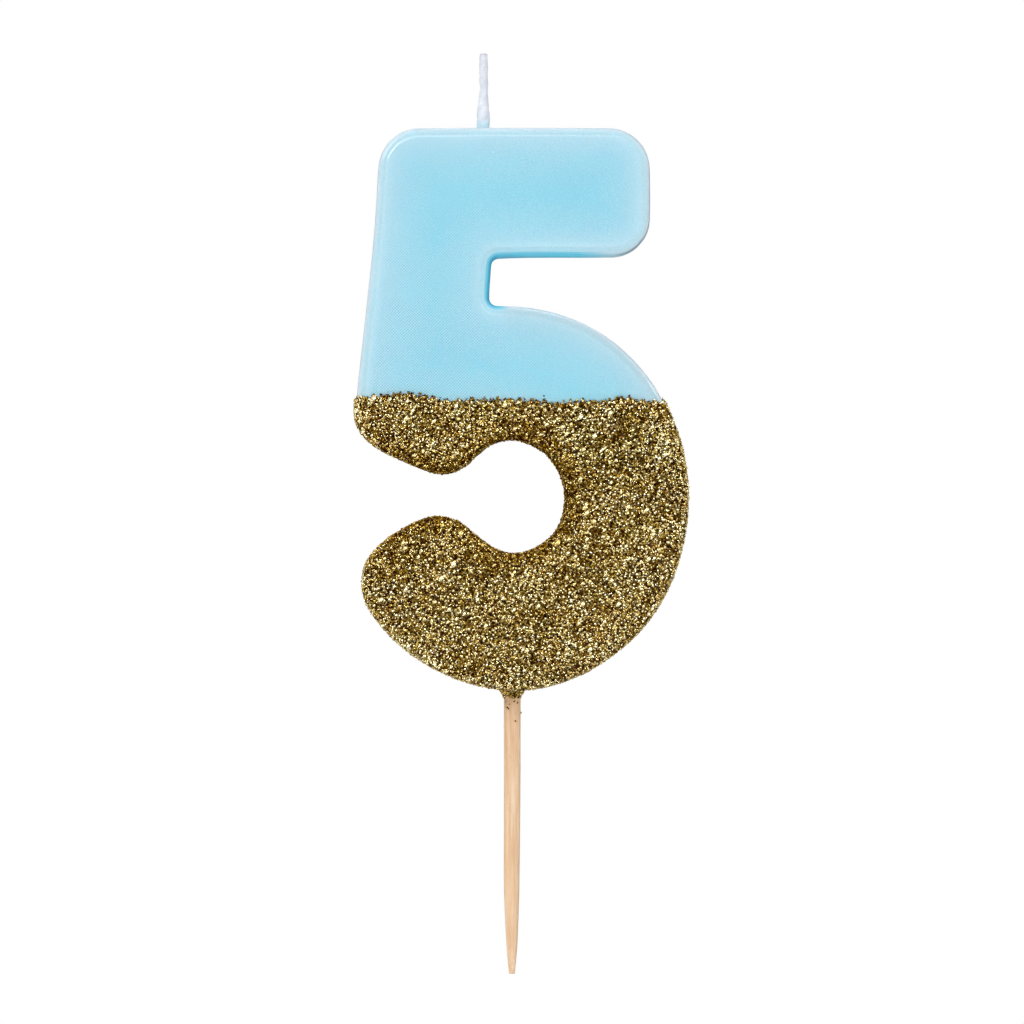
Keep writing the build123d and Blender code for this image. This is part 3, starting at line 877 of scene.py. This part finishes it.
def sparkles():
    """A scatter of large clean flakes lying square to the key light as seen from the front."""
    pos, nrm, _ = surface_samples(lambda mid, n: np.where(np.abs(n[:, 1]) > 0.6, 0.30, 0.12) * np.clip(1 + 0.45 * smooth_noise(mid, 9.0, 47), 0.2, 2.0), 3100)
    r = np.random.default_rng(3101)
    half = Vector((-0.52, -1.0, 0.44)).normalized()
    front = nrm[:, 1] < -0.6
    n = nrm.copy()
    n[front] = np.array(half) + r.normal(0, 0.05, (front.sum(), 3))
    n /= np.linalg.norm(n, axis=1)[:, None]
    lifted = pos + nrm * 0.16
    return flakes("glitter_sparkles", lifted, n, 0.235, np.full(len(pos), 2.0), np.zeros(len(pos)), 3102, (0.84, 0.96))


def beacons():
    """A few flakes half as large again, the ones that flash widest."""
    pos, nrm, _ = surface_samples(lambda mid, n: np.where(n[:, 1] < -0.6, 0.055, 0.012) * np.clip(1 + 0.5 * smooth_noise(mid, 11.0, 49), 0.2, 2.0), 3200)
    r = np.random.default_rng(3201)
    half = np.array(Vector((-0.52, -1.0, 0.44)).normalized())
    n = np.where(nrm[:, [1]] < -0.6, half + r.normal(0, 0.03, (len(pos), 3)), nrm)
    n /= np.linalg.norm(n, axis=1)[:, None]
    return flakes("glitter_beacons", pos + nrm * 0.19, n, 0.35, np.full(len(pos), 1.0), np.zeros(len(pos)), 3202, (0.88, 0.98))


sparkles()
beacons()
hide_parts("glitter_flake_layer")


# flakes that spread over the coat's top edge, and a few strays beyond it
def edge_flakes():
    r = np.random.default_rng(77)
    pos, nrm = [], []
    tall = np.where((np.abs(outline[:, 1] - 37.8) < 3))[0]
    for side_y, ny, n in ((-3.96, -1.0, 560), (4.0, 1.0, 420)):
        n = int(n * share)
        x = r.uniform(-19.4, 19.2, n)
        y = np.full(n, side_y)
        z = dip_line(x, y) + np.abs(r.normal(0, 0.10, n)) * np.where(r.random(n) < 0.05, 2.4, 1.0) - 0.12
        ok = inside(outline - outward * 0.9, np.c_[x, z])
        for q in np.where(ok)[0]:
            pos.append((x[q], side_y, z[q]))
            nrm.append((0, ny, 0))
    for i in r.choice(tall, int(360 * share)):
        y = r.uniform(-3.2, 3.6)
        d = dip_line(outline[i, 0], y)
        z = outline[i, 1]
        if 0 < z - d < 0.2 * r.random() + 0.05:
            pos.append((outline[i, 0], y, z))
            nrm.append((outward[i, 0], 0, outward[i, 1]))
    return np.array(pos, float), np.array(nrm, float)


epos, enrm = edge_flakes()
edge = flakes("glitter_edge_flakes", epos, enrm, 0.120, np.full(len(epos), 30.0), np.abs(rng.normal(0.04, 0.03, len(epos))), 301, (0.0, 0.50))


def stray_chips():
    """Tiny dark chips scattered just past the coat's top edge."""
    r = np.random.default_rng(79)
    n = 260
    x = r.uniform(-19.0, 19.0, n)
    y = np.where(r.random(n) < 0.6, -3.965, 4.0)
    z = dip_line(x, y) + np.abs(r.normal(0.0, 0.15, n)) - 0.04
    ok = inside(outline - outward * 0.9, np.c_[x, z])
    return np.c_[x, y, z][ok], np.c_[np.zeros(n), np.sign(y), np.zeros(n)][ok]


spos, snrm = stray_chips()
stray = flakes("glitter_stray_chips", spos, snrm, 0.078, np.full(len(spos), 24.0), np.full(len(spos), 0.015), 303, (0.0, 0.05))


# ------------------------------------------------------------------ wooden pick
def pick_centre(z):
    return np.interp(z, [-34.06, -27, -21, -16, -8, 2], [0.0, -0.03, -0.04, 0.01, 0.04, 0.02])


def pick_radius(z):
    return np.interp(z, [-34.06, -33.9, -33.0, -31.5, -30.0, -28.5, -27.0, -25.5, -23.5, -20.5, -17.0, 0.5, 14.15, 14.5],
                     [0.33, 0.37, 0.46, 0.60, 0.71, 0.775, 0.845, 0.90, 0.96, 0.985, 1.00, 1.04, 0.80, 0.45])


def build_pick():
    seg = 72
    zs = np.r_[np.arange(-34.06, -33.7, 0.06), np.arange(-33.7, 2.0, 0.22), np.arange(2.0, 14.5, 0.9), 14.5]
    ang = np.linspace(0, 2 * math.pi, seg, endpoint=False)
    V, F = [], []
    for z in zs:
        r = pick_radius(z)
        cx = pick_centre(z)
        # shallow fibres along the grain and a slightly flattened section
        q = np.c_[np.cos(ang) * 6, np.sin(ang) * 6, np.full(seg, z * 0.12)]
        fibre = grain(q * 1.0, 0.9, 21) * 0.012 + grain(q * 2.3, 0.9, 22) * 0.006
        rr = r * (1 + 0.012 * np.cos(2 * ang + 0.6)) + fibre * (r / 1.125)
        V += [(cx + a * math.cos(t), a * math.sin(t), z) for a, t in zip(rr, ang)]
    for k in range(len(zs) - 1):
        for i in range(seg):
            j = (i + 1) % seg
            F.append((k * seg + i, k * seg + j, (k + 1) * seg + j, (k + 1) * seg + i))
    V.append((0, 0, -34.06 + 0.04))
    V.append((0, 0, 14.5))
    for i in range(seg):
        j = (i + 1) % seg
        F.append((len(V) - 2, j, i))
        F.append((len(V) - 1, (len(zs) - 1) * seg + i, (len(zs) - 1) * seg + j))
    return make_mesh("pick", np.array(V) * MM, F)


pick = build_pick()
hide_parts("wooden_pick")
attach(pick, "candle")


def wood_material():
    m = Nodes("birch")
    long = m.coord(scale=(1000, 1000, 60))
    at = m.coord()
    fibre = m.noise(long, 2.2, 5, 0.62)
    broad = m.noise(long, 0.7, 2, 0.5)
    pores = m.noise(m.coord(scale=(1000, 1000, 130)), 6.0, 2, 0.7)
    colour = m.ramp(fibre, [(0.25, srgb(214, 172, 130)), (0.45, srgb(231, 193, 154)), (0.6, srgb(240, 208, 174)), (0.8, srgb(247, 222, 192))])
    colour = m.mix(m.map(broad, 0.4, 0.7, 0, 0.4, True), colour, srgb(238, 196, 158))
    colour = m.mix(m.map(pores, 0.62, 0.75, 0, 0.5), colour, srgb(190, 146, 104))
    x, y, z = m.xyz(at)
    # darker and warmer towards the top, just under the collar
    top_darkening = m.map(z, -3.5, 0.6, 0, 0.40, True)
    colour = m.mix(top_darkening, colour, srgb(206, 166, 122))
    # painted shade: the pick darkens at the edges of its round, more on the right, away from the key light
    weight = m.node("LayerWeight")
    weight.inputs["Blend"].default_value = 0.5
    side = m.math("MULTIPLY", m.map(weight.outputs["Facing"], 0.45, 0.95, 0, 1, True), m.map(x, -0.5, 0.5, 0.50, 0.80))
    colour = m.mix(side, colour, srgb(176, 156, 134))
    h = m.math("ADD", fibre, m.math("MULTIPLY", pores, -0.5))
    m.set(Base_Color=colour, Roughness=m.map(fibre, 0.3, 0.7, 0.72, 0.55), Normal=m.bump(h, 0.35, 0.00006),
          Subsurface_Weight=0.12, Subsurface_Radius=(1.0, 0.6, 0.35), Subsurface_Scale=0.0004)
    m.bsdf.inputs["Specular IOR Level"].default_value = 0.25
    return m.mat


pick.data.materials.append(wood_material())


# flakes on the collar and strays on the pick
def collar_flakes():
    r = np.random.default_rng(55)
    pos, nrm = [], []
    n = int(900 * max(share, 0.6))
    z = r.uniform(0.48, 2.7, n)
    th = r.uniform(0, 2 * math.pi, n)
    rad = np.interp(z, [0.4, 0.8, 1.3, 1.9, 2.7], [1.06, 1.12, 1.40, 1.95, 2.5])
    low = z < 0.78 + 0.22 * np.sin(th * 2 + 1) + 0.12 * np.sin(th * 5)
    keep = ~low | (r.random(n) < 0.25)
    slope = np.interp(z, [0.5, 1.1, 1.7, 2.7], [0.0, 0.4, 0.8, 0.9])
    for zz, t, q, s, k in zip(z, th, rad, slope, keep):
        if k:
            pos.append((q * math.cos(t), q * math.sin(t), zz))
            v = np.array([math.cos(t) * math.cos(s), math.sin(t) * math.cos(s), -math.sin(s)])
            nrm.append(v / np.linalg.norm(v))
    # a few strays lower down, and one small group on the front
    for zz, t in ((-0.5, -1.9), (-0.9, -2.15), (-1.05, -2.0), (-0.35, -0.9), (-2.6, -1.2), (-1.6, 0.4), (-0.7, 2.2), (-3.4, 2.9), (-0.2, -2.4), (-0.15, -1.35)):
        pos.append((0.03 + 1.06 * math.cos(t), 1.06 * math.sin(t), zz + 0.2))
        nrm.append((math.cos(t), math.sin(t), 0))
    return np.array(pos), np.array(nrm)


cpos, cnrm = collar_flakes()
collar = flakes("glitter_collar_flakes", cpos, cnrm, 0.15, np.full(len(cpos), 24.0), np.abs(rng.normal(0.02, 0.03, len(cpos))), 401, (0.0, 0.62))


def collar_bed():
    seg = 64
    V, F = [], []
    zs = [0.64, 0.78, 1.0, 1.3, 1.6, 1.9, 2.3, 2.8]
    for z in zs:
        for i in range(seg):
            t = 2 * math.pi * i / seg
            q = float(np.interp(z, [0.6, 0.8, 1.3, 1.9, 2.8], [1.03, 1.09, 1.33, 1.85, 2.45]))
            wob = 0.05 * math.sin(5 * t + z * 3) + 0.04 * math.sin(11 * t - z * 5)
            zz = z + (0.10 * math.sin(2 * t + 1) + 0.06 * math.sin(5 * t) if z < 1.0 else 0)
            V.append(((q + wob * (0.3 if z < 1.0 else 1)) * math.cos(t), (q + wob * (0.3 if z < 1.0 else 1)) * math.sin(t), zz))
    for k in range(len(zs) - 1):
        for i in range(seg):
            j = (i + 1) % seg
            F.append((k * seg + i, k * seg + j, (k + 1) * seg + j, (k + 1) * seg + i))
    F.append(tuple(range(seg))[::-1])
    F.append(tuple((len(zs) - 1) * seg + i for i in range(seg)))
    return make_mesh("glitter_collar_bed", np.array(V) * MM, F)


cbed = collar_bed()
cbed.data.materials.append(bed.data.materials[0])
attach(cbed, "candle")


# ------------------------------------------------------------------ wick
def wick_shape(z):
    """Centre x and radius of the waxed wick at height z, millimetres."""
    left = np.interp(z, [70.9, 71.6, 72.5, 73.8, 74.75, 75.3, 75.9, 76.75, 77.5, 79.0, 80.6, 81.2],
                     [-4.40, -4.33, -4.33, -4.28, -4.20, -4.12, -4.02, -3.90, -3.98, -4.02, -4.00, -3.92])
    right = np.interp(z, [70.9, 71.6, 72.5, 73.8, 74.75, 75.3, 75.9, 76.75, 77.5, 79.0, 80.6, 81.2],
                      [-2.80, -2.84, -2.76, -2.82, -2.92, -2.97, -3.00, -3.00, -3.00, -3.02, -3.02, -3.08])
    left = left - 0.085
    return (left + right) / 2, (right - left) / 2


def build_wick():
    seg = 48
    zs = list(np.arange(70.9, 80.75, 0.09))
    V, F = [], []
    cap_base = 80.78
    cx0, r0 = wick_shape(cap_base)
    for a in np.radians(np.linspace(0, 82, 9)):
        zs.append(cap_base + 0.42 * math.sin(a))
    for z in zs:
        if z < cap_base:
            cx, r = wick_shape(z)
        else:
            cx, r = cx0, r0 * max(0.0, 1 - ((z - cap_base) / 0.425) ** 3) ** (1 / 3)
        twist = 2 * math.pi * (z - 70.9) / 6.2
        for i in range(seg):
            t = 2 * math.pi * i / seg
            lobe = 0.045 * abs(math.cos(1.5 * (t - twist))) * (r / 0.55)
            lump = 0.018 * math.sin(3.1 * z + 2 * t) + 0.012 * math.sin(7.0 * z - 3 * t)
            q = r * 0.985 - 0.03 + lobe + lump * (1 if z < cap_base else 0.3)
            V.append((cx + q * math.cos(t), q * math.sin(t), z))
    n = len(zs)
    for k in range(n - 1):
        for i in range(seg):
            j = (i + 1) % seg
            F.append((k * seg + i, k * seg + j, (k + 1) * seg + j, (k + 1) * seg + i))
    V.append((cx0, 0, cap_base + 0.43))
    V.append((wick_shape(70.9)[0], 0, 70.9))
    for i in range(seg):
        j = (i + 1) % seg
        F.append((len(V) - 2, (n - 1) * seg + i, (n - 1) * seg + j))
        F.append((len(V) - 1, j, i))
    return make_mesh("wick_wax", np.array(V) * MM, F)


wick = build_wick()


def wick_material():
    m = Nodes("wick_wax")
    at = m.coord()
    x, y, z = m.xyz(at)
    fine = m.noise(m.coord(scale=(1000, 1000, 300)), 3.0, 3, 0.6)
    colour = m.mix(m.map(fine, 0.3, 0.7, 0, 1), srgb(218, 220, 228), srgb(230, 231, 237))
    base = m.map(z, 76.6, 73.6, 0, 1, True)
    colour = m.mix(m.math("MULTIPLY", base, 0.8), colour, srgb(236, 236, 243))
    colour = m.mix(m.map(z, 73.2, 72.1, 0, 0.75, True), colour, srgb(206, 233, 243))
    # painted shade: the wick's sides darken to grey at grazing angles, less near its base, and its rounded tip is
    # greyed too
    weight = m.node("LayerWeight")
    weight.inputs["Blend"].default_value = 0.5
    side = m.map(weight.outputs["Facing"], 0.6, 0.98, 0, 0.35, True)
    side = m.math("MULTIPLY", side, m.lerp(base, 1.0, 0.4))
    colour = m.mix(m.math("MAXIMUM", side, m.map(z, 80.75, 81.12, 0, 0.75, True)), colour, srgb(188, 186, 194))
    strands = m.node("TexWave", wave_type="BANDS", bands_direction="DIAGONAL", wave_profile="SIN")
    m.put(strands.inputs["Vector"], at)
    strands.inputs["Scale"].default_value = 1.4
    strands.inputs["Distortion"].default_value = 1.5
    colour = m.mix(m.math("MULTIPLY", strands.outputs["Fac"], m.lerp(base, 0.25, 0.08)), colour, srgb(212, 216, 232))
    h = m.math("ADD", fine, m.math("MULTIPLY", strands.outputs["Fac"], 0.8))
    m.set(Base_Color=colour, Roughness=m.map(fine, 0.3, 0.7, 0.42, 0.58), Subsurface_Weight=0.55,
          Subsurface_Radius=(1.0, 1.0, 1.0), Subsurface_Scale=0.0004, Normal=m.bump(h, 0.3, 0.00004))
    m.bsdf.inputs["Specular IOR Level"].default_value = 0.35
    return m.mat


wick.data.materials.append(wick_material())
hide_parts("wick_wax_skin", "wick_yarn_1", "wick_yarn_2", "wick_yarn_3")
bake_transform(wick)


def cotton_material():
    m = Nodes("cotton")
    at = m.coord(scale=(1000, 1000, 250))
    f = m.noise(at, 5.0, 3, 0.6)
    m.set(Base_Color=m.mix(f, srgb(216, 216, 220), srgb(244, 243, 240)), Roughness=m.map(f, 0.3, 0.7, 0.8, 0.65), Normal=m.bump(f, 0.4, 0.00003))
    m.bsdf.inputs["Sheen Weight"].default_value = 0.3
    return m.mat


for n in ("wick_root",):
    nodes[n].data.materials.clear()
    nodes[n].data.materials.append(cotton_material())


# ------------------------------------------------------------------ stage, light and camera
def stage_material():
    m = Nodes("paper")
    at = m.coord(scale=(20, 20, 20))
    n = m.noise(at, 3.0, 2)
    m.set(Base_Color=m.mix(n, (0.93, 0.93, 0.93), (0.97, 0.97, 0.97)), Roughness=0.9)
    path = m.node("LightPath")
    glow = m.node("Emission")
    glow.inputs[0].default_value = (1, 1, 1, 1)
    glow.inputs[1].default_value = 1.0
    mixer = m.node("MixShader")
    m.put(mixer.inputs[0], path.outputs["Is Camera Ray"])
    m.tree.links.new(m.bsdf.outputs[0], mixer.inputs[1])
    m.tree.links.new(glow.outputs[0], mixer.inputs[2])
    m.tree.links.new(mixer.outputs[0], m.out.inputs[0])
    return m.mat


floor = make_mesh("floor", [(-3, -3, -0.03412), (3, -3, -0.03412), (3, 3, -0.03412), (-3, 3, -0.03412)], [(0, 1, 2, 3)], smooth=False)
floor.data.materials.append(stage_material())
floor.visible_glossy = False


def world_setup():
    world = bpy.data.worlds.new("studio")
    scene.world = world
    world.use_nodes = True
    t = world.node_tree
    t.nodes.clear()
    out = t.nodes.new("ShaderNodeOutputWorld")
    path = t.nodes.new("ShaderNodeLightPath")

    def background(rgb, strength):
        b = t.nodes.new("ShaderNodeBackground")
        if hasattr(rgb, "is_output"):
            t.links.new(rgb, b.inputs[0])
        else:
            b.inputs[0].default_value = rgb + (1,)
        b.inputs[1].default_value = strength
        return b.outputs[0]

    def mix(fac, a, b):
        n = t.nodes.new("ShaderNodeMixShader")
        t.links.new(fac, n.inputs[0])
        t.links.new(a, n.inputs[1])
        t.links.new(b, n.inputs[2])
        return n.outputs[0]

    coords = t.nodes.new("ShaderNodeTexCoord")
    toward = t.nodes.new("ShaderNodeVectorMath")
    toward.operation = "DOT_PRODUCT"
    t.links.new(coords.outputs["Generated"], toward.inputs[0])
    toward.inputs[1].default_value = Vector((-0.35, -0.80, 0.48)).normalized()
    falloff = t.nodes.new("ShaderNodeMapRange")
    falloff.interpolation_type = "SMOOTHSTEP"
    for k, v in (("From Min", -0.6), ("From Max", 0.9), ("To Min", 0.22), ("To Max", 0.80)):
        falloff.inputs[k].default_value = v
    t.links.new(toward.outputs["Value"], falloff.inputs["Value"])
    soft = background((0.985, 0.995, 1.0), 1.0)
    t.links.new(falloff.outputs[0], t.nodes[-1].inputs[1])
    cloud = t.nodes.new("ShaderNodeTexNoise")
    cloud.inputs["Scale"].default_value = 2.3
    cloud.inputs["Detail"].default_value = 1.0
    t.links.new(coords.outputs["Generated"], cloud.inputs["Vector"])
    levels = t.nodes.new("ShaderNodeValToRGB")
    e = levels.color_ramp.elements
    e[0].position, e[0].color = 0.36, (0.012, 0.012, 0.012, 1)
    e[1].position, e[1].color = 0.68, (1.0, 1.0, 1.0, 1)
    for at, v in ((0.43, 0.03), (0.49, 0.085), (0.55, 0.24), (0.60, 0.56)):
        n = e.new(at)
        n.color = (v, v, v, 1)
    t.links.new(cloud.outputs["Fac"], levels.inputs[0])
    shine = background(levels.outputs[0], 4.3)
    seen = background((1, 1, 1), 1.0)
    a = mix(path.outputs["Is Glossy Ray"], soft, shine)
    b = mix(path.outputs["Is Camera Ray"], a, seen)
    t.links.new(b, out.inputs[0])


world_setup()


def softbox(name, loc, size, energy, colour=(1, 1, 1), target=(0, 0, 0.035)):
    light = bpy.data.lights.new(name, "AREA")
    light.shape = "RECTANGLE"
    light.size, light.size_y = size
    light.energy = energy
    light.color = colour
    obj = bpy.data.objects.new(name, light)
    scene.collection.objects.link(obj)
    obj.location = loc
    d = Vector(target) - Vector(loc)
    obj.rotation_mode = "QUATERNION"
    obj.rotation_quaternion = d.to_track_quat("-Z", "Y")
    return obj


softbox("key_left", (-0.55, -0.55, 0.55), (0.30, 0.30), 1.75)
softbox("fill_right", (0.62, -0.45, 0.25), (0.22, 0.40), 0.68, (0.98, 0.99, 1.0))
softbox("top", (0.0, -0.15, 0.75), (0.45, 0.25), 0.80)
softbox("low_front", (0.1, -0.60, -0.02), (0.30, 0.10), 0.22)
softbox("back_top", (0.1, 0.55, 0.55), (0.5, 0.3), 1.0)

glint = softbox("glint", (-0.36, -0.80, 0.40), (0.42, 0.06), 4.0)
glint.rotation_quaternion = glint.rotation_quaternion @ Quaternion((0, 0, 1), math.radians(45))
glint.visible_diffuse = False

glint_r = softbox("glint_right", (0.50, -0.73, 0.38), (0.30, 0.030), 1.3)
glint_r.rotation_quaternion = glint_r.rotation_quaternion @ Quaternion((0, 0, 1), math.radians(-55))
glint_r.visible_diffuse = False

cam_data = bpy.data.cameras.new("camera")
cam = bpy.data.objects.new("camera", cam_data)
scene.collection.objects.link(cam)
reach = 1.200
cam_data.sensor_width = 36.0
cam_data.lens = 36.0 * reach / 0.128
cam.location = (0.0, -(reach + 0.002), 0.02375)
cam.rotation_euler = (math.radians(90), 0, 0)
cam_data.clip_start, cam_data.clip_end = 0.01, 20
scene.camera = cam
scene.view_settings.view_transform = "Standard"
scene.view_settings.look = "None"
scene.view_settings.exposure = 0.0
